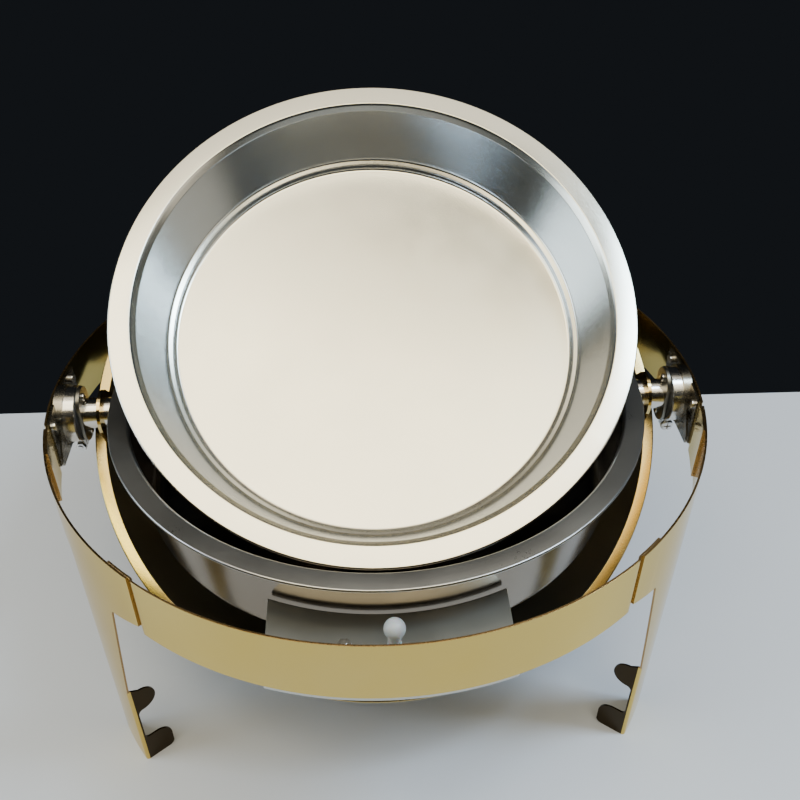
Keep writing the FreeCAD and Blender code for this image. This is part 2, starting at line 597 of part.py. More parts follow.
for side_name, side in (("left", -1), ("right", 1)):
    # Fixed: hollow support shaft and its boss on the water pan's wall, with a thrust washer.
    tube = ring_on_hinge(f"{side_name}_shaft_tube", side, "shaft_bore", "shaft_radius", "shaft_start",
                         "shaft_end")
    shaft = cut(f"{side_name}_support_shaft", tube, pan_wall_room(f"{side_name}_shaft_room"))
    keep(shaft, f"{side_name}_support_shaft")
    collar = ring_on_hinge(f"{side_name}_boss_collar", side, "shaft_radius + lap_gap", "boss_radius",
                           "shaft_start", "boss_end - lap_gap")
    keep(cut(f"{side_name}_pan_boss", collar, pan_wall_room(f"{side_name}_boss_room")),
         f"{side_name}_pan_boss")
    keep(ring_on_hinge(f"{side_name}_thrust_washer", side, "shaft_radius + lap_gap", "sleeve_radius",
                       "boss_end", "washer_end"), f"{side_name}_thrust_washer")

    # Turning with the lid: hub sleeve, flange plate with two screws, damper rotor.
    keep(ring_on_hinge(f"{side_name}_hub_sleeve", side, "shaft_radius + hinge_fit", "sleeve_radius",
                       "sleeve_start", "flange_start - lap_gap"), f"{side_name}_hub_sleeve")
    straight = "flange_half_height - flange_half_width"
    oval = plate(f"{side_name}_flange_oval", "YZ_Plane", [
        ("flange_half_width", f"0 - ({straight})", "flange_half_width", 1),
        ("0", "0 - flange_half_height", "flange_half_width", 1),
        ("0 - flange_half_width", f"0 - ({straight})"),
        ("0 - flange_half_width", straight, "flange_half_width", 1),
        ("0", "flange_half_height", "flange_half_width", 1),
        ("flange_half_width", straight)], "flange_sheet")
    place(oval, x="flange_start" if side > 0 else "0 - flange_start - flange_sheet", z="hinge_height")
    holes = [on_hinge(round_bar(f"{side_name}_flange_bore", "shaft_radius + hinge_fit", "20"), side,
                      start="flange_start - 5")]
    rotor = ring_on_hinge(f"{side_name}_rotor_ring", side, "shaft_radius + hinge_fit", "rotor_radius",
                          "flange_start + flange_sheet + lap_gap", "rotor_end")
    screws = []
    for row, up in (("upper", 1), ("lower", -1)):
        name = f"{side_name}_{row}_flange_screw"
        spot = f"{up} * flange_screw_pitch"
        head = on_hinge(round_bar(name + "_head", "flange_screw_head", "2.2"), side, rise=spot,
                        start="flange_start - 2.2 - lap_gap")
        shank = on_hinge(round_bar(name + "_shank", "flange_screw_radius", "flange_screw_length"), side,
                         rise=spot, start="flange_start - 1")
        screws.append(fuse(name, [head, shank]))
        holes.append(on_hinge(round_bar(name + "_hole", "flange_screw_radius + lap_gap",
                                        "flange_screw_length + 6"), side, rise=spot,
                              start="flange_start - 5"))
    keep(cut_each(f"{side_name}_flange_plate", oval, holes), f"{side_name}_flange_plate")
    keep(cut_each(f"{side_name}_damper_rotor", rotor, holes[1:]), f"{side_name}_damper_rotor")
    keep(group(f"{side_name}_flange_screws", screws), f"{side_name}_flange_screws")

    # Fixed: clamped barrel round the rotor, split along its lug, with a cross screw and nut.
    shell = on_hinge(turned(f"{side_name}_barrel_cup", [
        ("barrel_radius - barrel_wall", "barrel_start"), ("barrel_radius - 0.6", "barrel_start"),
        ("barrel_radius", "barrel_start + 0.6"), ("barrel_radius", "barrel_end"),
        ("shaft_radius + lap_gap", "barrel_end"), ("shaft_radius + lap_gap", "rotor_end + 0.4"),
        ("barrel_radius - barrel_wall", "rotor_end + 0.4")]), side)
    lug = doc.addObject("Part::Box", f"{side_name}_lug_block")
    bind(lug, Length="lug_width", Width="2 * lug_half_depth", Height="lug_drop - barrel_radius + 1.5")
    lug_x = "lug_start" if side > 0 else "0 - lug_start - lug_width"
    place(lug, x=lug_x, y="0 - lug_half_depth", z="hinge_height - lug_drop")
    slit = doc.addObject("Part::Box", f"{side_name}_clamp_slit")
    bind(slit, Length="rotor_end - barrel_start + 2", Width="clamp_gap",
         Height="lug_drop - barrel_radius + barrel_wall + 3")
    slit_x = "barrel_start - 2" if side > 0 else "0 - rotor_end"
    place(slit, x=slit_x, y="0 - clamp_gap / 2", z="hinge_height - lug_drop - 2")
    screw_line = "lug_start + lug_width / 2"
    facing = "90" if side > 0 else "-90"

    def across(thing, start):
        """Lays a piece along Y through the lug; start is measured from the screw's head end."""
        return place(thing, x=f"{side} * ({screw_line})", y=f"{side} * ({start})",
                     z="hinge_height - clamp_screw_drop", axis=(1, 0, 0), angle=f"0 - {facing}")

    screw_hole = across(round_bar(f"{side_name}_clamp_hole", "clamp_screw_radius + lap_gap", "40"),
                        "0 - 20")
    barrel = cut_each(f"{side_name}_damper_barrel", fuse(f"{side_name}_barrel_and_lug", [shell, lug]),
                      [slit, screw_hole])
    keep(barrel, f"{side_name}_damper_barrel")
    clamp_head = across(round_bar(f"{side_name}_clamp_cap", "clamp_screw_head", "clamp_head_height"),
                        "0 - lug_half_depth - clamp_head_height - lap_gap")
    clamp_shank = across(round_bar(f"{side_name}_clamp_shank", "clamp_screw_radius",
                                   "2 * lug_half_depth + clamp_nut_height + 2"), "0 - lug_half_depth - 1")
    keep(fuse(f"{side_name}_clamp_screw", [clamp_head, clamp_shank]), f"{side_name}_clamp_screw")
    nut = across(hexagon(f"{side_name}_clamp_nut_hex", "clamp_nut_flats", "clamp_nut_height"),
                 "lug_half_depth + lap_gap")
    keep(cut(f"{side_name}_clamp_nut", nut, screw_hole), f"{side_name}_clamp_nut")

    # Fixed: bracket on the stand's inner face, with a socket for the barrel and a gusset.
    saddle = ring_sector(f"{side_name}_saddle", "stand_radius - stand_sheet - lap_gap",
                         "stand_radius - stand_sheet - lap_gap - saddle_sheet", "saddle_low",
                         "saddle_height", f"{90 - 90 * side} - saddle_half_angle", "2 * saddle_half_angle")
    socket = on_hinge(turned(f"{side_name}_socket", [
        ("barrel_radius + lap_gap", "socket_start"), ("socket_radius", "socket_start"),
        ("socket_radius", "stand_radius"), ("shaft_radius + lap_gap", "stand_radius"),
        ("shaft_radius + lap_gap", "socket_floor"), ("barrel_radius + lap_gap", "socket_floor")]), side)
    gusset = plate(f"{side_name}_gusset", "YZ_Plane", [
        ("0 - gusset_reach", "0 - gusset_low"), ("gusset_reach", "0 - gusset_low"),
        ("gusset_reach", "0 - gusset_shoulder"), ("gusset_top_reach", "gusset_top"),
        ("0 - gusset_top_reach", "gusset_top"), ("0 - gusset_reach", "0 - gusset_shoulder")],
        "gusset_sheet")
    place(gusset, x="gusset_start" if side > 0 else "0 - gusset_start - gusset_sheet", z="hinge_height")
    barrel_room = on_hinge(round_bar(f"{side_name}_barrel_room", "barrel_radius + lap_gap", "20"), side,
                           start="socket_floor - 20")
    limit = bind(doc.addObject("Part::Cylinder", f"{side_name}_bracket_limit"),
                 Radius="stand_radius - stand_sheet - lap_gap - saddle_sheet / 2", Height="80")
    place(limit, z="hinge_height - 40")
    inner_metal = doc.addObject("Part::Common", f"{side_name}_bracket_inner")
    inner_metal.Base = fuse(f"{side_name}_socket_and_gusset",
                            [socket, cut(f"{side_name}_gusset_cleared", gusset, barrel_room)])
    inner_metal.Tool = limit
    screws, screw_holes = [], []
    for row, along in (("front", -1), ("rear", 1)):
        name = f"{side_name}_{row}_bracket_screw"
        turn = f"{90 - 90 * side} + {along} * bracket_screw_angle"

        def radial(thing, reach):
            """Lays a piece along a spoke of the stand; its local Z runs outwards."""
            spoke = FreeCAD.Rotation(FreeCAD.Vector(0, 0, 1), size(turn))
            level = FreeCAD.Rotation(FreeCAD.Vector(0, 1, 0), 90)
            place(thing, x=f"({reach}) * cos({turn})", y=f"({reach}) * sin({turn})",
                  z="hinge_height + bracket_screw_rise")
            thing.Placement.Rotation = spoke.multiply(level)
            return thing

        seat = "stand_radius - stand_sheet - 2 * lap_gap - saddle_sheet"
        head = radial(round_bar(name + "_head", "bracket_screw_head", "bracket_screw_head_height"),
                      f"{seat} - bracket_screw_head_height")
        shank = radial(round_bar(name + "_shank", "bracket_screw_radius",
                                 "saddle_sheet + stand_sheet + lap_gap"), f"{seat} - 0.1")
        screws.append(fuse(name, [head, shank]))
        screw_holes.append(radial(round_bar(name + "_hole", "bracket_screw_radius + lap_gap", "12"),
                                  f"{seat} - 5"))
    keep(group(f"{side_name}_bracket_screws", screws), f"{side_name}_bracket_screws")
    shaft_room = on_hinge(round_bar(f"{side_name}_bracket_bore", "shaft_radius + lap_gap", "4"), side,
                          start="shaft_end + lap_gap - 4")
    bracket = cut_each(f"{side_name}_hinge_bracket",
                       fuse(f"{side_name}_bracket_metal", [saddle, inner_metal]),
                       [*screw_holes, shaft_room])
    keep(bracket, f"{side_name}_hinge_bracket")
    plain_leg = parts[f"{side_name}_rear_leg"]
    plain_leg.Label = f"{side_name}_rear_leg_undrilled"
    keep(cut_each(f"{side_name}_rear_leg_drilled", plain_leg, screw_holes), f"{side_name}_rear_leg")

doc.recompute()

for thing in doc.Objects:
    if "Invalid" in thing.State or "Error" in thing.State:
        raise RuntimeError(f"{thing.Label} did not rebuild: {thing.State}")
os.makedirs("parts", exist_ok=True)
for label, thing in sorted(parts.items()):
    if thing.Shape.isNull() or not thing.Shape.isValid():
        raise RuntimeError(f"{label} has no valid solid")
    thing.Shape.exportStep(f"parts/{label}.step")
    box = thing.Shape.BoundBox
    print(f"{label:24s} solids {len(thing.Shape.Solids):2d} volume {thing.Shape.Volume:10.1f}"
          f"  x {box.XMin:8.2f} {box.XMax:8.2f}  y {box.YMin:8.2f} {box.YMax:8.2f}"
          f"  z {box.ZMin:8.2f} {box.ZMax:8.2f}")
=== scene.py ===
import bpy
import bmesh
import json
import math
from mathutils import Matrix, Vector


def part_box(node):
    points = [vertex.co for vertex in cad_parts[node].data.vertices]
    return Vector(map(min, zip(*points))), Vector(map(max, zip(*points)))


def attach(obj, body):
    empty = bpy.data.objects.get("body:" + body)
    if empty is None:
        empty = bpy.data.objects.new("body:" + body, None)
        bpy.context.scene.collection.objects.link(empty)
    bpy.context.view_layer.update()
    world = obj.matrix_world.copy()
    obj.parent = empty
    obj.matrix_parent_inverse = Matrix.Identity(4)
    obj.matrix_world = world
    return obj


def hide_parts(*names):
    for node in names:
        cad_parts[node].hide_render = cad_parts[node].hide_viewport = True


# Round roll-top chafing dish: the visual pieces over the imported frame, in metres.
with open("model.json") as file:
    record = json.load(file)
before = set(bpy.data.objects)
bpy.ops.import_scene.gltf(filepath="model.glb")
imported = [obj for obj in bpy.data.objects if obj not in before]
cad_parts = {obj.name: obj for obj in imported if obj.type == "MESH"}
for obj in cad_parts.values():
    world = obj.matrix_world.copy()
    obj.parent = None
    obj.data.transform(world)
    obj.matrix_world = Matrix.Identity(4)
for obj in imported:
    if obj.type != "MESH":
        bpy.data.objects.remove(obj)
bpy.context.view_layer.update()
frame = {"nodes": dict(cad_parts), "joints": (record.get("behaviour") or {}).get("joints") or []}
MM = 0.001
HINGE = next(joint for joint in frame["joints"] if joint["name"] == "lid_roll")["pos_m"][2]
BAND_LOW, BAND_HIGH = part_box("front_band")
RING = -BAND_LOW[1]
TOP = BAND_HIGH[2]
BAND_BOTTOM = BAND_LOW[2]
SHEET = 1.5 * MM
LEG_BAND_DEPTH = 46 * MM
LEG_BAND_BOTTOM = TOP - LEG_BAND_DEPTH
LAP_GAP = 0.05 * MM
LAP_RADIUS = RING - SHEET - LAP_GAP


# --- mesh helpers --------------------------------------------------------------------------
def arc(centre, radius, start, end, steps):
    """Points on an arc in a flat plane, angles in degrees."""
    points = []
    for step in range(steps + 1):
        angle = math.radians(start + (end - start) * step / steps)
        points.append((centre[0] + radius * math.cos(angle), centre[1] + radius * math.sin(angle)))
    return points


def rounded(corners, steps=6):
    """A closed outline with rounded corners, from (x, y) or (x, y, radius) corners."""
    points = []
    count = len(corners)
    for index, corner in enumerate(corners):
        here = Vector(corner[:2])
        if len(corner) == 2:
            points.append((here.x, here.y))
            continue
        before = Vector(corners[index - 1][:2]) - here
        after = Vector(corners[(index + 1) % count][:2]) - here
        half = before.angle(after) / 2
        reach = min(corner[2] / math.tan(half), before.length * 0.499, after.length * 0.499)
        radius = reach * math.tan(half)
        first = here + before.normalized() * reach
        last = here + after.normalized() * reach
        middle = here + (before.normalized() + after.normalized()).normalized() * radius / math.sin(half)
        sweep_from = first - middle
        sweep_to = last - middle
        turn = math.atan2(sweep_from.x * sweep_to.y - sweep_from.y * sweep_to.x, sweep_from.dot(sweep_to))
        for step in range(steps + 1):
            angle = turn * step / steps
            points.append((middle.x + sweep_from.x * math.cos(angle) - sweep_from.y * math.sin(angle),
                           middle.y + sweep_from.x * math.sin(angle) + sweep_from.y * math.cos(angle)))
    return points


def finish_mesh(name, bm, materials, sharp=32):
    """A smooth-shaded object from the mesh; edges over `sharp` degrees stay crisp."""
    mesh = bpy.data.meshes.new(name)
    bm.to_mesh(mesh)
    bm.free()
    mesh.shade_smooth()
    mesh.set_sharp_from_angle(angle=math.radians(sharp))
    piece = bpy.data.objects.new(name, mesh)
    bpy.context.scene.collection.objects.link(piece)
    for material in materials:
        mesh.materials.append(material)
    return piece


def lathe(name, outline, materials, matrix=Matrix.Identity(4), segments=256, sharp=32, closed=True):
    """Turns a (radius, height) outline about its local Z axis."""
    bm = bmesh.new()
    rings = []
    for radius, height in outline:
        if radius < 1e-7:
            rings.append([bm.verts.new((0, 0, height))] * segments)
            continue
        rings.append([bm.verts.new((radius * math.cos(2 * math.pi * k / segments),
                                    radius * math.sin(2 * math.pi * k / segments), height))
                      for k in range(segments)])
    pairs = list(zip(rings, rings[1:]))
    if closed:
        pairs.append((rings[-1], rings[0]))
    for lower, upper in pairs:
        for k in range(segments):
            after = (k + 1) % segments
            corners = []
            for vert in (lower[k], lower[after], upper[after], upper[k]):
                if vert not in corners:
                    corners.append(vert)
            if len(corners) > 2:
                bm.faces.new(corners)
    bmesh.ops.recalc_face_normals(bm, faces=bm.faces)
    bm.transform(matrix)
    return finish_mesh(name, bm, materials, sharp)


def plate(name, outline, thickness, materials, matrix=Matrix.Identity(4), bevel=0.2 * MM, holes=()):
    """A flat piece: outline in local XY, thickness along local Z, softened edges."""
    bm = bmesh.new()
    rims = []
    for ring in (outline, *holes):
        verts = [bm.verts.new((x, y, 0)) for x, y in ring]
        for k, vert in enumerate(verts):
            bm.edges.new((vert, verts[(k + 1) % len(verts)]))
        rims.append(verts)
    if holes:
        bmesh.ops.triangle_fill(bm, use_beauty=True, edges=bm.edges[:])
    else:
        bm.faces.new(rims[0])
    bmesh.ops.recalc_face_normals(bm, faces=bm.faces)
    flat = bm.faces[:]
    if flat[0].normal.z > 0:
        bmesh.ops.reverse_faces(bm, faces=flat)
    grown = bmesh.ops.extrude_face_region(bm, geom=flat)["geom"]
    for item in grown:
        if isinstance(item, bmesh.types.BMVert):
            item.co.z += thickness
    bmesh.ops.recalc_face_normals(bm, faces=bm.faces)
    for face in bm.faces:
        face.material_index = 1 if len(materials) > 1 and abs(face.normal.z) < 0.5 else 0
    bm.transform(matrix)
    piece = finish_mesh(name, bm, materials)
    soften(piece, bevel)
    return piece


def soften(piece, width):
    """Rounds every edge sharper than 40 degrees by a small bevel."""
    bevel = piece.modifiers.new("Edges", "BEVEL")
    bevel.width = width
    bevel.segments = 2
    bevel.limit_method = "ANGLE"
    bevel.angle_limit = math.radians(40)
    bevel.harden_normals = True


def combine(name, pieces):
    """One object from several, with their modifiers applied."""
    graph = bpy.context.evaluated_depsgraph_get()
    bm = bmesh.new()
    materials = []
    for piece in pieces:
        mesh = bpy.data.meshes.new_from_object(piece.evaluated_get(graph))
        index = {}
        for slot, material in enumerate(mesh.materials):
            if material not in materials:
                materials.append(material)
            index[slot] = materials.index(material)
        mesh.transform(piece.matrix_world)
        start = len(bm.faces)
        bm.from_mesh(mesh)
        bm.faces.ensure_lookup_table()
        for face in bm.faces[start:]:
            face.material_index = index[face.material_index]
        bpy.data.meshes.remove(mesh)
        bpy.data.objects.remove(piece)
    return finish_mesh(name, bm, materials)


def disc(radius, steps):
    """A closed circle about the origin as an outline."""
    return arc((0, 0), radius, 0, 360 * (steps - 1) / steps, steps - 1)


def on_hinge(side, along, rise):
    """Local Z runs outwards along the hinge line on that side."""
    return (Matrix.Translation((side * along, 0.0, HINGE + rise))
            @ Matrix.Rotation(math.radians(90 * side), 4, "Y"))


# --- materials: base colour with dust and brighter worn edges, smudges, grain and turned lines ----
NOISE_LOW, NOISE_HIGH = 0.3, 0.7
POINTINESS_FLAT, POINTINESS_SHARP = 0.52, 0.62
DUST = (0.55, 0.54, 0.52, 1)
MIX_A, MIX_B, MIX_RESULT = 6, 7, 2


def node(tree, kind, **values):
    """A new node; set_ names are its properties and the rest are its sockets."""
    made = tree.nodes.new(kind)
    for key, value in values.items():
        if key.startswith("set_"):
            setattr(made, key[4:], value)
        else:
            made.inputs[key.replace("_", " ")].default_value = value
    return made


def scaled(tree, value, low, high):
    """Noise spread over the range low to high."""
    span = node(tree, "ShaderNodeMapRange")
    span.inputs["From Min"].default_value = NOISE_LOW
    span.inputs["From Max"].default_value = NOISE_HIGH
    span.inputs["To Min"].default_value = low
    span.inputs["To Max"].default_value = high
    tree.links.new(value, span.inputs["Value"])
    return span.outputs["Result"]


def surface(name, colour, roughness, metallic=1.0, smudge=0.05, dust=0.03, wave=0.0, grain=0.0,
            grain_size=900.0, lines=None, axis=None, edge=0.25, **constants):
    """A metal or plastic; lines is the strength of fine turned rings about the Z of the frame `axis`."""
    material = bpy.data.materials.new(name)
    material.use_nodes = True
    tree = material.node_tree
    shader = tree.nodes["Principled BSDF"]
    shader.inputs["Metallic"].default_value = metallic
    for key, value in constants.items():
        shader.inputs[key.replace("_", " ")].default_value = value
    place = node(tree, "ShaderNodeTexCoord")
    cloud = node(tree, "ShaderNodeTexNoise", Scale=16.0, Detail=5.0, Roughness=0.6)
    fine = node(tree, "ShaderNodeTexNoise", Scale=grain_size, Detail=3.0)
    for texture in (cloud, fine):
        tree.links.new(place.outputs["Object"], texture.inputs["Vector"])
    # colour: base, dulled by patches of dust, lifted on worn edges
    patches = scaled(tree, cloud.outputs["Fac"], 0.0, dust)
    dulled = node(tree, "ShaderNodeMix", set_data_type="RGBA")
    dulled.inputs[MIX_A].default_value = (*colour, 1)
    dulled.inputs[MIX_B].default_value = DUST
    tree.links.new(patches, dulled.inputs["Factor"])
    shape = node(tree, "ShaderNodeNewGeometry")
    worn = node(tree, "ShaderNodeMapRange")
    worn.inputs["From Min"].default_value = POINTINESS_FLAT
    worn.inputs["From Max"].default_value = POINTINESS_SHARP
    worn.inputs["To Max"].default_value = edge
    tree.links.new(shape.outputs["Pointiness"], worn.inputs["Value"])
    lifted = node(tree, "ShaderNodeMix", set_data_type="RGBA")
    lifted.inputs[MIX_B].default_value = tuple(min(1.0, part * 1.35 + 0.03) for part in colour) + (1,)
    tree.links.new(worn.outputs["Result"], lifted.inputs["Factor"])
    tree.links.new(dulled.outputs[MIX_RESULT], lifted.inputs[MIX_A])
    tree.links.new(lifted.outputs[MIX_RESULT], shader.inputs["Base Color"])
    # roughness: polish with smudged patches and fine grain
    patchy = scaled(tree, cloud.outputs["Fac"], roughness, roughness + smudge)
    gritty = scaled(tree, fine.outputs["Fac"], -0.15 * smudge, 0.35 * smudge)
    total = node(tree, "ShaderNodeMath", set_operation="ADD", set_use_clamp=True)
    tree.links.new(patchy, total.inputs[0])
    tree.links.new(gritty, total.inputs[1])
    tree.links.new(total.outputs["Value"], shader.inputs["Roughness"])
    # relief: sheet waviness, grain, turned rings
    relief = None
    layers = []
    if wave:
        ripple = node(tree, "ShaderNodeTexNoise", Scale=22.0, Detail=1.0)
        tree.links.new(place.outputs["Object"], ripple.inputs["Vector"])
        layers.append((ripple.outputs["Fac"], wave, 1.0 * MM))
    if grain:
        layers.append((fine.outputs["Fac"], grain, 0.05 * MM))
    if lines:
        back = axis.inverted()
        local = node(tree, "ShaderNodeMapping")
        local.inputs["Location"].default_value = back.to_translation()
        local.inputs["Rotation"].default_value = back.to_euler()
        tree.links.new(place.outputs["Object"], local.inputs["Vector"])
        flat = node(tree, "ShaderNodeVectorMath", set_operation="MULTIPLY")
        flat.inputs[1].default_value = (1, 1, 0)
        tree.links.new(local.outputs["Vector"], flat.inputs[0])
        reach = node(tree, "ShaderNodeVectorMath", set_operation="LENGTH")
        tree.links.new(flat.outputs["Vector"], reach.inputs[0])
        rings = node(tree, "ShaderNodeTexNoise", set_noise_dimensions="1D", Scale=1800.0, Detail=3.0)
        tree.links.new(reach.outputs["Value"], rings.inputs["W"])
        layers.append((rings.outputs["Fac"], lines, 0.04 * MM))
    for value, strength, depth in layers:
        bump = node(tree, "ShaderNodeBump", Strength=strength, Distance=depth)
        tree.links.new(value, bump.inputs["Height"])
        if relief is not None:
            tree.links.new(relief, bump.inputs["Normal"])
        relief = bump.outputs["Normal"]
    if relief is not None:
        tree.links.new(relief, shader.inputs["Normal"])
    return material


LID_TURN = -145.0
LID = Matrix.Translation((0, 0, HINGE)) @ Matrix.Rotation(math.radians(LID_TURN), 4, "X")
PAN_TILT = 31.9
FOOD = Matrix.Translation((0, 19.5 * MM, 323.7 * MM)) @ Matrix.Rotation(math.radians(PAN_TILT), 4, "X")
WATER_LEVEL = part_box("water_pan")[1][2]
WATER = Matrix.Translation((0, 0, WATER_LEVEL))

GOLD = surface("gold_mirror", (0.59, 0.43, 0.115), 0.05, smudge=0.05, dust=0.05,
               wave=0.05, grain=0.01, Specular_Tint=(0.97, 0.91, 0.76, 1))
# Near-black gold for the foot flange faces: painted dark reflection and shade, not the sheet's own colour.
FOOT_FACE_PAINTED_DARK = surface("gold_foot_faces", (0.030, 0.019, 0.006), 0.12, smudge=0.10, dust=0.01, wave=0.08,
                    edge=0.0)
GOLD_EDGE = surface("gold_cut_edge", (0.34, 0.21, 0.08), 0.22, smudge=0.10, dust=0.04, grain=0.15)
LID_GOLD = surface("lid_gold_mirror", (0.55, 0.41, 0.17), 0.10, smudge=0.06, dust=0.04, wave=0.03,
                   lines=0.05, axis=LID, Specular_Tint=(0.97, 0.91, 0.76, 1))
LID_INSIDE = surface("lid_inside_mirror", (0.60, 0.55, 0.43), 0.30, smudge=0.06, dust=0.04, wave=0.03,
                     lines=0.05, axis=LID)
SATIN_GOLD = surface("satin_gold", (0.42, 0.31, 0.12), 0.20, smudge=0.08, dust=0.03, lines=0.25,
                     axis=LID)
# One steel pan in two tints: the cream copy paints the warm overhead light onto floor and rim, and the
# bluish copy paints the cool side light onto the walls.
FOOD_PAN_PAINTED_WARM_LIGHT = surface("food_pan_satin", (0.745, 0.705, 0.59), 0.20, smudge=0.06, dust=0.04, grain=0.05,
                     lines=0.10, axis=FOOD)
FOOD_WALL_PAINTED_COOL_LIGHT = surface("food_pan_wall_satin", (0.47, 0.495, 0.53), 0.17, smudge=0.06, dust=0.03, grain=0.05,
                    lines=0.10, axis=FOOD)
WATER_RIM = surface("water_pan_rim_satin", (0.46, 0.45, 0.43), 0.27, smudge=0.06, dust=0.03, lines=0.03,
                    axis=WATER)
# The pan body below the rim is darkened to near-black brown: painted shade, not the steel's own colour.
WATER_PAN_PAINTED_SHADE = surface("water_pan_satin", (0.20, 0.17, 0.135), 0.14, smudge=0.07, dust=0.03,
                      lines=0.05, axis=WATER)
STEEL = surface("polished_steel", (0.60, 0.57, 0.52), 0.15, smudge=0.09, dust=0.05, grain=0.06)
SHELF_STEEL = surface("shelf_satin_steel", (0.50, 0.50, 0.46), 0.32, smudge=0.06, dust=0.04, wave=0.04)
WARM_STEEL = surface("satin_plate_steel", (0.17, 0.16, 0.135), 0.30, smudge=0.10, dust=0.05, grain=0.10)
SCREW_STEEL = surface("screw_steel", (0.66, 0.65, 0.63), 0.18, smudge=0.10, dust=0.04, grain=0.10)
DARK_STEEL = surface("bracket_steel", (0.22, 0.20, 0.16), 0.18, smudge=0.12, dust=0.06, grain=0.08)
SILICONE = surface("silicone", (0.48, 0.51, 0.54), 0.38, metallic=0.0, smudge=0.08, dust=0.05, grain=0.10,
                   edge=0.1, Transmission_Weight=0.25, Subsurface_Weight=0.4, Subsurface_Scale=0.006)
NYLON = surface("nylon", (0.80, 0.79, 0.74), 0.42, metallic=0.0, smudge=0.08, dust=0.10, grain=0.15)
BLACK = surface("black_plastic", (0.025, 0.025, 0.027), 0.45, metallic=0.0, smudge=0.10, dust=0.05,
                grain=0.2)


# --- curved sheets: strips of quads on the ring, thickened inwards -------------------------------
def ring_sheet(name, columns, low_near, levels, radius_at, polar_at, extra=None):
    """Quads between angles and levels; low_near(angle) gives the lower edge of that stretch."""
    bm = bmesh.new()

    def at(angle, height):
        polar = math.radians(polar_at(angle))
        radius = radius_at(angle)
        return bm.verts.new((radius * math.cos(polar), radius * math.sin(polar), height))

    for a, b in zip(columns, columns[1:]):
        low = low_near((a + b) / 2)
        for bottom, top in zip(levels, levels[1:]):
            heights = [min(max(bottom, low(angle)), top) for angle in (a, b)]
            if min(heights) > top - 1e-6:
                continue
            corners = [(a, heights[0]), (b, heights[1]), (b, top), (a, top)]
            kept = [corner for k, corner in enumerate(corners)
                    if abs(corner[0] - corners[k - 1][0]) + abs(corner[1] - corners[k - 1][1]) > 1e-6]
            bm.faces.new([at(*corner) for corner in kept])
    if extra:
        extra(bm)
    bmesh.ops.remove_doubles(bm, verts=bm.verts, dist=0.002 * MM)
    bmesh.ops.dissolve_degenerate(bm, edges=bm.edges, dist=0.001 * MM)
    bmesh.ops.recalc_face_normals(bm, faces=bm.faces)
    outer = max(bm.faces, key=lambda face: face.calc_center_median().z)
    centre = outer.calc_center_median()
    if outer.normal.dot(Vector((centre.x, centre.y, 0))) < 0:
        bmesh.ops.reverse_faces(bm, faces=bm.faces)
    piece = finish_mesh(name, bm, (GOLD, GOLD_EDGE, FOOT_FACE_PAINTED_DARK))
    solid = piece.modifiers.new("Sheet", "SOLIDIFY")
    solid.thickness = SHEET
    solid.offset = -1
    solid.use_even_offset = True
    solid.material_offset_rim = 1
    soften(piece, 0.22 * MM)
    return piece


def spread(*stops, step=0.7):
    """Angles from the first stop to the last, through every stop."""
    angles = [stops[0]]
    for start, end in zip(stops, stops[1:]):
        count = max(1, math.ceil(abs(end - start) / step))
        angles += [start + (end - start) * k / count for k in range(1, count + 1)]
    return angles


def joggled(angle, start, end):
    """Sheet radius either side of a joggle that starts at one angle and ends at another."""
    share = min(max((angle - start) / (end - start), 0.0), 1.0)
    return RING + (LAP_RADIUS - RING) * share * share * (3 - 2 * share)


def level(height):
    return lambda angle: height


# Degrees from the band's middle: its end, the joggle before it, and the tongue behind the leg plate.
BAND_END, JOGGLE, TONGUE_END = 39.7, 0.8, 44.7


def band(name, middle):
    """A curved strip with a joggled tongue at each end."""
    tongue = spread(BAND_END - JOGGLE, BAND_END, TONGUE_END, step=0.2)
    body = [-a for a in reversed(tongue)][:-1] + spread(-(BAND_END - JOGGLE), BAND_END - JOGGLE) + tongue[1:]

    def low_near(angle):
        return level(BAND_BOTTOM if abs(angle) < BAND_END else LEG_BAND_BOTTOM)

    def radius_at(angle):
        return joggled(abs(angle), BAND_END - JOGGLE, BAND_END)

    piece = ring_sheet(name + "_sheet", body, low_near, (BAND_BOTTOM, LEG_BAND_BOTTOM, TOP), radius_at,
                       lambda a: middle + a)
    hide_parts(name)
    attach(piece, "stand")


band("front_band", 270.0)
band("rear_band", 90.0)

# Degrees from the band's middle: start of the leg plate, front edge of the foot, rear edge of the leg.
LEG_START, LEG_FRONT, LEG_REAR = 40.0, 52.2, 61.2
CORNER = 6.0 * MM
LEAN, DROP, SPAN = 20.0 * MM, 9.0 * MM, 52.8 * MM
BEND = 2.6 * MM
FLANGE_TOP = 92.0 * MM


def lobes():
    """Outline of the foot flange in (reach from the ring's middle, height), from the bend round."""
    tip, lobe, neck, notch = RING - 25.5 * MM, 12 * MM, RING - 4 * MM, 4 * MM
    upper = RING - 20.5 * MM + lobe
    outline = [(RING - BEND, 0.0)]
    outline += arc((tip + 5 * MM, 5 * MM), 5 * MM, 270, 180, 8)
    outline += arc((tip + lobe, 16 * MM), lobe, 180, 90, 14)
    outline += arc((neck - notch, 28 * MM + notch), notch, 270, 360, 8)
    outline += arc((neck - notch, 64 * MM - notch), notch, 0, 90, 8)
    outline += arc((upper, 76 * MM), lobe, 270, 90, 24)
    outline += [(RING - BEND, FLANGE_TOP)]
    return outline


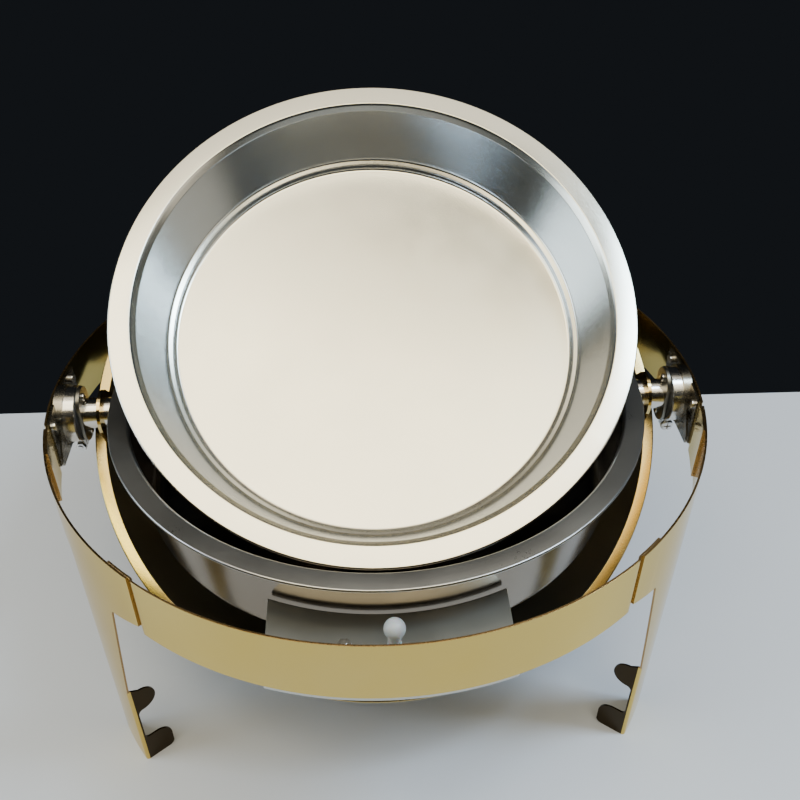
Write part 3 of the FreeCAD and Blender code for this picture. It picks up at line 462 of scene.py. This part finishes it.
def leg(name, middle, turn, far_edge, tongue_end=None):
    """A curved plate with one leg; angles run from the band's middle towards the hinge."""
    bend_angle = math.degrees(BEND / RING)
    rib = LEG_BAND_BOTTOM
    knee = rib - DROP - CORNER

    def angle_at(across):
        return LEG_FRONT - math.degrees(math.asin(across / RING))

    def ceiling(angle):
        across = RING * math.sin(math.radians(LEG_FRONT - angle)) - LEAN
        if across < CORNER:
            return knee + math.sqrt(max(CORNER ** 2 - (CORNER - max(across, 0.0)) ** 2, 0.0))
        return rib - DROP * max(0.0, (SPAN - LEAN - across) / (SPAN - LEAN - CORNER))

    def leaning(angle):
        share = RING * math.sin(math.radians(LEG_FRONT - angle)) / LEAN
        return FLANGE_TOP + (knee - FLANGE_TOP) * share

    def rear_corner(angle):
        across = RING * math.radians(angle - LEG_REAR)
        return rib - CORNER + math.sqrt(max(CORNER ** 2 - (CORNER - max(across, 0.0)) ** 2, 0.0))

    rounding = [CORNER * (1 - math.cos(math.radians(90 * k / 8))) for k in range(8, -1, -1)]
    front = [angle_at(LEAN + across) for across in rounding]
    rear = [LEG_REAR + math.degrees(across / RING) for across in reversed(rounding)]
    shank = spread(front[-1], LEG_FRONT, LEG_FRONT + bend_angle, LEG_REAR, step=0.5)
    columns = spread(LEG_START, angle_at(SPAN), front[0]) + front[1:] + shank[1:] + rear[1:]
    columns += spread(rear[-1], far_edge)[1:]
    if tongue_end:
        columns = [a for a in columns if a < far_edge - JOGGLE]
        columns += spread(far_edge - JOGGLE, far_edge, step=0.2)
        columns += spread(far_edge, tongue_end)[1:]

    def low_near(angle):
        for limit, low in ((front[-1], ceiling), (LEG_FRONT, leaning),
                           (LEG_FRONT + bend_angle, level(FLANGE_TOP)),
                           (LEG_REAR, level(0.0)), (rear[-1], rear_corner)):
            if angle < limit:
                return low
        return level(rib)

    levels = (0.0, FLANGE_TOP, knee, rib - CORNER, rib, TOP)

    def radius_at(angle):
        return joggled(angle, far_edge - JOGGLE, far_edge) if tongue_end else RING

    def flange(bm):
        polar = math.radians(middle + turn * LEG_FRONT)
        out = Vector((math.cos(polar), math.sin(polar), 0))
        across = Vector((-math.sin(polar), math.cos(polar), 0)) * turn
        corner = math.radians(bend_angle)
        curve = [(RING * math.cos(corner), RING * math.sin(corner))]
        curve += [(RING - BEND + BEND * math.cos(math.radians(t)), BEND - BEND * math.sin(math.radians(t)))
                  for t in (15, 30, 45, 60, 75, 90)]
        columns = []
        for x, y in curve:
            foot = out * x + across * y
            columns.append((bm.verts.new(foot), bm.verts.new(foot + Vector((0, 0, FLANGE_TOP)))))
        for (a, b), (c, d) in zip(columns, columns[1:]):
            bm.faces.new((a, c, d, b))
        # The flat foot flange takes slot 2, the near-black painted dark reflection.
        bm.faces.new([bm.verts.new(out * x + Vector((0, 0, z))) for x, z in lobes()]).material_index = 2

    piece = ring_sheet(name + "_sheet", columns, low_near, levels, radius_at,
                       lambda a: middle + turn * a, flange)
    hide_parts(name)
    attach(piece, "stand")


SIDES = (("left", -1), ("right", 1))
for side_name, side in SIDES:
    leg(f"{side_name}_front_leg", 270.0, side, 79.8)
    leg(f"{side_name}_rear_leg", 90.0, -side, 99.8, 107.0)

# --- front shelf: level plate between two curved edges, both turned down -------------------------
SHELF_LOW, SHELF_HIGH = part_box("front_shelf")
SHELF_SHEET = 1.2 * MM
shelf_level = SHELF_HIGH[2]
shelf_inner = 191.5 * MM
shelf_outer = -SHELF_LOW[1]


def shelf():
    bm = bmesh.new()
    fold = 2.0 * MM
    columns = []
    for k in range(65):
        x = SHELF_LOW[0] + (SHELF_HIGH[0] - SHELF_LOW[0]) * k / 64
        outer = math.sqrt(shelf_outer ** 2 - x ** 2)
        inner = math.sqrt(shelf_inner ** 2 - x ** 2)
        profile = [(outer, SHELF_LOW[2])]
        profile += arc((outer - fold, shelf_level - fold), fold, 0, 90, 5)
        profile += [(outer - (outer - inner) * part, shelf_level) for part in (0.25, 0.5, 0.75)]
        profile += arc((inner + fold, shelf_level - fold), fold, 90, 180, 5)
        profile += [(inner, shelf_level - 5 * MM)]
        columns.append([bm.verts.new((x, -reach, height)) for reach, height in profile])
    for first, second in zip(columns, columns[1:]):
        for a, b, c, d in zip(first, second, second[1:], first[1:]):
            bm.faces.new((a, b, c, d))
    bmesh.ops.recalc_face_normals(bm, faces=bm.faces)
    if max(bm.faces, key=lambda face: abs(face.normal.z)).normal.z < 0:
        bmesh.ops.reverse_faces(bm, faces=bm.faces)
    piece = finish_mesh("front_shelf_sheet", bm, (SHELF_STEEL, SCREW_STEEL))
    solid = piece.modifiers.new("Sheet", "SOLIDIFY")
    solid.thickness = SHELF_SHEET
    solid.offset = -1
    solid.material_offset_rim = 1
    soften(piece, 0.2 * MM)
    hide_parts("front_shelf")
    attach(piece, "stand")


shelf()


# --- pans ------------------------------------------------------------------------------------
def mm(points):
    return [tuple(value * MM for value in point) for point in points]


water_depth = (WATER_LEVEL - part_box("water_pan")[0][2]) / MM
RIM_DEPTH = 5 * MM
water_pan = lathe("water_pan_spun", rounded(mm([
    (0, -water_depth), (187, -water_depth, 13), (190.9, -3, 2), (192, -1, 1.2), (203.2, -1, 0.4),
    (203.2, -2.6, 0.9), (205.2, -3, 1.2), (206, -1.5, 1.0), (205.6, 0, 1.4), (191.4, 0, 1.8),
    (189.9, -2.4, 1.5), (186, 1 - water_depth, 12), (0, 1 - water_depth)]), 8),
    [WATER_PAN_PAINTED_SHADE, WATER_RIM], WATER)
# Faces near the top take the lighter rim steel; the rest keeps the darker painted-shade steel.
for face in water_pan.data.polygons:
    if face.center.z > WATER_LEVEL - RIM_DEPTH:
        face.material_index = 1
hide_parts("water_pan")
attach(water_pan, "stand")

FOOD_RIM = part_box("food_pan")[1][0] / MM
food_pan = lathe("food_pan_spun", rounded(mm([
    (0, -62.2), (163.2, -62.2, 4.2), (163.5, -56.2, 2), (168.2, -53.8, 4), (181.7, -6.2, 3),
    (185.6, -1.2, 2), (FOOD_RIM - 1.2, -1.2, 0.8), (FOOD_RIM - 1.2, -3, 0.3), (FOOD_RIM, -3, 0.4),
    (FOOD_RIM, 0, 1.6), (184.6, 0, 1.1), (183.2, -1.5, 0.8), (180.6, -5, 2.2), (167, -53.2, 3.5),
    (162.4, -55.3, 1.4), (162, -61, 3.4), (0, -61)]), 8), [FOOD_PAN_PAINTED_WARM_LIGHT, FOOD_WALL_PAINTED_COOL_LIGHT], FOOD, segments=320)
# Steep faces take the bluish wall copy (painted cool light); the flat faces keep the cream copy (painted
# warm light).
pan_up = FOOD.to_3x3() @ Vector((0, 0, 1))
for face in food_pan.data.polygons:
    if abs(face.normal.dot(pan_up)) < 0.45:
        face.material_index = 1
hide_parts("food_pan")
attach(food_pan, "food_pan")

# --- lid: thin dome and a satin rim with a rolled edge --------------------------------------------
MOUTH, OFFSET, APEX = 219.0, 20.0, 214.0
LID_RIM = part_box("lid_rim")[1][0] / MM
DOME_CENTRE = (MOUTH ** 2 + OFFSET ** 2 - APEX ** 2) / (2 * (OFFSET - APEX))
DOME = APEX - DOME_CENTRE
mouth_low = math.degrees(math.asin((OFFSET + 1 - DOME_CENTRE) / DOME))
DOME_ROWS = 72
dome_outline = arc((0, DOME_CENTRE * MM), (DOME + 1) * MM, mouth_low, 90, DOME_ROWS)
dome_outline += arc((0, DOME_CENTRE * MM), DOME * MM, 90, mouth_low, DOME_ROWS)
for apex in (DOME_ROWS, DOME_ROWS + 1):
    dome_outline[apex] = (0.0, dome_outline[apex][1])
lid_dome = lathe("lid_dome_spun", dome_outline, [LID_GOLD, LID_INSIDE], LID, segments=320)
dome_middle = LID @ Vector((0, 0, DOME_CENTRE * MM))
for face in lid_dome.data.polygons:
    if face.normal.dot(face.center - dome_middle) < 0:
        face.material_index = 1
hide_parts("lid_shell")
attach(lid_dome, "lid")
bead = 1.3
roll = arc(((LID_RIM - bead) * MM, (OFFSET + bead) * MM), bead * MM, -90, 200, 20)
rim_outline = mm([(MOUTH, OFFSET), (MOUTH + 1.2, OFFSET)]) + roll + mm([(LID_RIM - 2.3 * bead, OFFSET + 1),
                                                                        (MOUTH, OFFSET + 1)])
lid_rim = lathe("lid_rim_rolled", rim_outline, [SATIN_GOLD], LID, segments=320)
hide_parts("lid_rim")
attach(lid_rim, "lid")

# --- grip bar -------------------------------------------------------------------------------------
BAR_LOW, BAR_HIGH = (Vector(corner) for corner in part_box("lid_handle"))
bar_middle = (BAR_LOW + BAR_HIGH) / 2
bar_radius = (BAR_HIGH.z - BAR_LOW.z) / 2
bar_half = (BAR_HIGH.x - BAR_LOW.x) / 2
groove_radius = bar_radius - 0.5 * MM
grip = lathe("lid_grip_bar", rounded([
    (0, -bar_half), (bar_radius, -bar_half, 2.2 * MM), (bar_radius, -bar_half + 6 * MM, 0.2 * MM),
    (groove_radius, -bar_half + 6.4 * MM, 0.2 * MM), (groove_radius, -bar_half + 7.4 * MM, 0.2 * MM),
    (bar_radius, -bar_half + 7.8 * MM, 0.2 * MM), (bar_radius, bar_half - 7.8 * MM, 0.2 * MM),
    (groove_radius, bar_half - 7.4 * MM, 0.2 * MM), (groove_radius, bar_half - 6.4 * MM, 0.2 * MM),
    (bar_radius, bar_half - 6 * MM, 0.2 * MM), (bar_radius, bar_half, 2.2 * MM), (0, bar_half)], 5),
    [STEEL], Matrix.Translation(bar_middle) @ Matrix.Rotation(math.radians(90), 4, "Y"), segments=96,
    closed=False)
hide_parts("lid_handle")
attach(grip, "lid")


# --- hinges ------------------------------------------------------------------------------------------
def cross_head(name, radius, height, matrix):
    """A domed screw head with a cross recess; its flat side is at local z = 0."""
    rise = height * 0.55
    outline = [(0, 0), (radius - 0.15 * MM, 0), (radius, 0.15 * MM), (radius, height - rise)]
    outline += [(radius * math.cos(math.radians(t)), height - rise + rise * math.sin(math.radians(t)))
                for t in range(10, 90, 10)]
    outline += [(0, height)]
    head = lathe(name, outline, [SCREW_STEEL], segments=64, closed=False)
    arm, half = radius * 0.55, radius * 0.13
    cross = [(arm, -half), (arm, half), (half, half), (half, arm), (-half, arm), (-half, half),
             (-arm, half), (-arm, -half), (-half, -half), (-half, -arm), (half, -arm), (half, -half)]
    tool = plate(name + "_recess", cross, height, [SCREW_STEEL],
                 Matrix.Translation((0, 0, height - radius * 0.42)))
    tool.modifiers.clear()
    hollow = head.modifiers.new("Recess", "BOOLEAN")
    hollow.operation = "DIFFERENCE"
    hollow.solver = "EXACT"
    hollow.object = tool
    bpy.context.view_layer.update()
    cut_head = combine(name + "_cut", [head])
    bpy.data.objects.remove(tool)
    cut_head.data.transform(matrix)
    return cut_head


def shank(name, radius, length, matrix):
    """A threaded rod: one shallow groove for each turn."""
    grooves = [(0, 0), (radius, 0)]
    turns = max(2, int(length / (0.7 * MM)))
    for k in range(turns):
        start = length * (k + 0.5) / turns
        grooves += [(radius, start - 0.12 * MM), (radius - 0.22 * MM, start)]
    grooves += [(radius, length - 0.1 * MM), (radius - 0.3 * MM, length), (0, length)]
    return lathe(name, grooves, [SCREW_STEEL], matrix, segments=48, closed=False)


FLANGE_BORE = 9.06 * MM
FLANGE_SCREW_RISE, FLANGE_HEAD_RADIUS = 16 * MM, 3.2 * MM
CLAMP_ROD_RADIUS, CLAMP_HEAD_HEIGHT = 2 * MM, 3 * MM

for side_name, side in SIDES:
    low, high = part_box(f"{side_name}_flange_plate")
    inner_face = min(abs(low[0]), abs(high[0]))
    thick = high[0] - low[0]
    half_width, half_height = (high[1] - low[1]) / 2, (high[2] - low[2]) / 2
    straight = half_height - half_width
    oval = arc((0, straight), half_width, 0, 180, 32) + arc((0, -straight), half_width, 180, 360, 32)
    bore = disc(FLANGE_BORE, 64)
    turned_plane = Matrix(((0, 0, side, side * inner_face), (1, 0, 0, 0), (0, 1, 0, HINGE), (0, 0, 0, 1)))
    flange = plate(f"{side_name}_flange_oval", oval, thick, [WARM_STEEL], turned_plane, 0.5 * MM, [bore])
    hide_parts(f"{side_name}_flange_plate")
    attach(flange, "lid")

    heads = []
    low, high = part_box(f"{side_name}_flange_screws")
    head_start = min(abs(low[0]), abs(high[0]))
    for row, up in (("upper", 1), ("lower", -1)):
        seat = on_hinge(-side, -(inner_face - LAP_GAP), up * FLANGE_SCREW_RISE)
        heads.append(cross_head(f"{side_name}_{row}_flange_head", FLANGE_HEAD_RADIUS,
                                inner_face - head_start, seat))
    screws = combine(f"{side_name}_flange_screw_heads", heads)
    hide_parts(f"{side_name}_flange_screws")
    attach(screws, "lid")

    low, high = (Vector(corner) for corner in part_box(f"{side_name}_clamp_screw"))
    middle = (low + high) / 2
    head_end = low.y if side > 0 else high.y
    cap = Matrix.Translation((middle.x, head_end + side * CLAMP_HEAD_HEIGHT, middle.z)) @ Matrix.Rotation(
        math.radians(90 * side), 4, "X")
    head = cross_head(f"{side_name}_clamp_head", (high.x - low.x) / 2, CLAMP_HEAD_HEIGHT, cap)
    rod = shank(f"{side_name}_clamp_rod", CLAMP_ROD_RADIUS, high.y - low.y - CLAMP_HEAD_HEIGHT,
                cap @ Matrix.Rotation(math.pi, 4, "X"))
    screw = combine(f"{side_name}_clamp_screw_cut", [head, rod])
    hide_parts(f"{side_name}_clamp_screw")
    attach(screw, "stand")

# --- lid rest: translucent mushroom --------------------------------------------------------------------
REST_LOW, REST_HIGH = (Vector(corner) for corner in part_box("shelf_bumper"))
rest_foot = Vector(((REST_LOW.x + REST_HIGH.x) / 2, (REST_LOW.y + REST_HIGH.y) / 2, REST_LOW.z))
rest_radius = (REST_HIGH.x - REST_LOW.x) / 2
rest_top = REST_HIGH.z - REST_LOW.z
mushroom = rounded([
    (1.6 * MM, 0), (6.8 * MM, 0, 0.6 * MM), (6.8 * MM, 3 * MM, 1.2 * MM), (4.4 * MM, 4.5 * MM, 1 * MM),
    (4.4 * MM, rest_top - 2 * rest_radius + 1.5 * MM, 1.2 * MM)], 5)
mushroom += [(rest_radius * math.cos(math.radians(t)),
              rest_top - rest_radius + rest_radius * math.sin(math.radians(t))) for t in range(-40, 90, 6)]
mushroom += [(0, rest_top), (0, 12 * MM), (1.6 * MM, 12 * MM)]
rest = lathe("shelf_rest_moulded", mushroom, [SILICONE], Matrix.Translation(rest_foot), segments=96)
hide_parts("shelf_bumper")
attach(rest, "stand")

# --- CAD nodes that stay, with their finishes ----------------------------------------------------
FINISH = {
    "support_shaft": STEEL, "pan_boss": WARM_STEEL, "thrust_washer": NYLON, "hub_sleeve": STEEL,
    "damper_rotor": BLACK, "damper_barrel": STEEL, "clamp_nut": SCREW_STEEL, "hinge_bracket": DARK_STEEL,
    "bracket_screws": SCREW_STEEL, "lid_arm": LID_GOLD, "arm_rivets": SCREW_STEEL,
    "handle_posts": STEEL, "handle_screws": SCREW_STEEL, "shelf_nut": SCREW_STEEL,
    "shelf_screw": SCREW_STEEL, "bumper_screw": SCREW_STEEL,
}
for name, cad_node in frame["nodes"].items():
    finish = FINISH.get(name.replace("left_", "").replace("right_", ""))
    if finish:
        for slot in cad_node.material_slots:
            slot.material = finish

# --- floor, light and camera ---------------------------------------------------------------------
floor_mesh = bpy.data.meshes.new("floor")
floor_half, floor_near = 1.6, -3.2
far_left, far_right = 0.3255, 0.2890
floor_mesh.from_pydata([(-floor_half, floor_near, 0), (floor_half, floor_near, 0),
                        (floor_half, far_right, 0), (-floor_half, far_left, 0)], [], [(0, 1, 2, 3)])
floor = bpy.data.objects.new("floor", floor_mesh)
bpy.context.scene.collection.objects.link(floor)
floor_mesh.materials.append(surface("floor_paint", (0.57, 0.595, 0.655), 0.40, metallic=0.0, smudge=0.05,
                                    dust=0.02, edge=0.0))

world = bpy.data.worlds.new("studio")
world.use_nodes = True
bpy.context.scene.world = world
tree = world.node_tree
sky = tree.nodes["Background"]
sky.inputs["Color"].default_value = (0.008, 0.0095, 0.0115, 1)
sky.inputs["Strength"].default_value = 1.0


def softbox(name, place, width, height, power, colour):
    """A rectangular area light, power in watts, aimed at the middle of the hinge line."""
    light = bpy.data.lights.new(name, "AREA")
    light.shape = "RECTANGLE"
    light.size = width
    light.size_y = height
    light.energy = power
    light.color = colour
    lamp = bpy.data.objects.new(name, light)
    lamp.location = place
    lamp.rotation_euler = (Vector((0, 0, HINGE)) - Vector(place)).to_track_quat("-Z", "Y").to_euler()
    bpy.context.scene.collection.objects.link(lamp)


softbox("overhead", (-0.2, -0.85, 2.4), 2.6, 1.5, 62, (1.0, 0.91, 0.68))
softbox("overhead_back", (-0.15, 0.42, 2.4), 2.4, 1.0, 12, (1.0, 0.94, 0.80))
softbox("window_left", (-2.1, -0.2, 1.2), 1.2, 1.6, 35, (0.72, 0.87, 1.0))
softbox("window_right", (1.45, -0.3, 2.2), 0.5, 1.3, 60, (0.62, 0.81, 1.0))
softbox("fill_right", (2.2, -0.9, 1.0), 1.2, 1.4, 5, (1.0, 0.95, 0.86))

# Degrees round from the front, up and about the view's own axis, then metres from the target.
AZIMUTH, ELEVATION, ROLL, DISTANCE = -3.31, 38.12, 0.07, 0.7271
SENSOR_MM, LENS_MM = 36.0, 41.09
TARGET = Vector((18.05 * MM, 0, 245.85 * MM))
back = Vector((math.sin(math.radians(AZIMUTH)) * math.cos(math.radians(ELEVATION)),
               -math.cos(math.radians(AZIMUTH)) * math.cos(math.radians(ELEVATION)),
               math.sin(math.radians(ELEVATION))))
camera_data = bpy.data.cameras.new("camera")
camera_data.sensor_width = SENSOR_MM
camera_data.lens = LENS_MM
camera_data.clip_start = 0.01
camera = bpy.data.objects.new("camera", camera_data)
camera.matrix_world = (Matrix.Translation(TARGET + back * DISTANCE)
                       @ (-back).to_track_quat("-Z", "Y").to_matrix().to_4x4()
                       @ Matrix.Rotation(math.radians(ROLL), 4, "Z"))
bpy.context.scene.collection.objects.link(camera)
bpy.context.scene.camera = camera
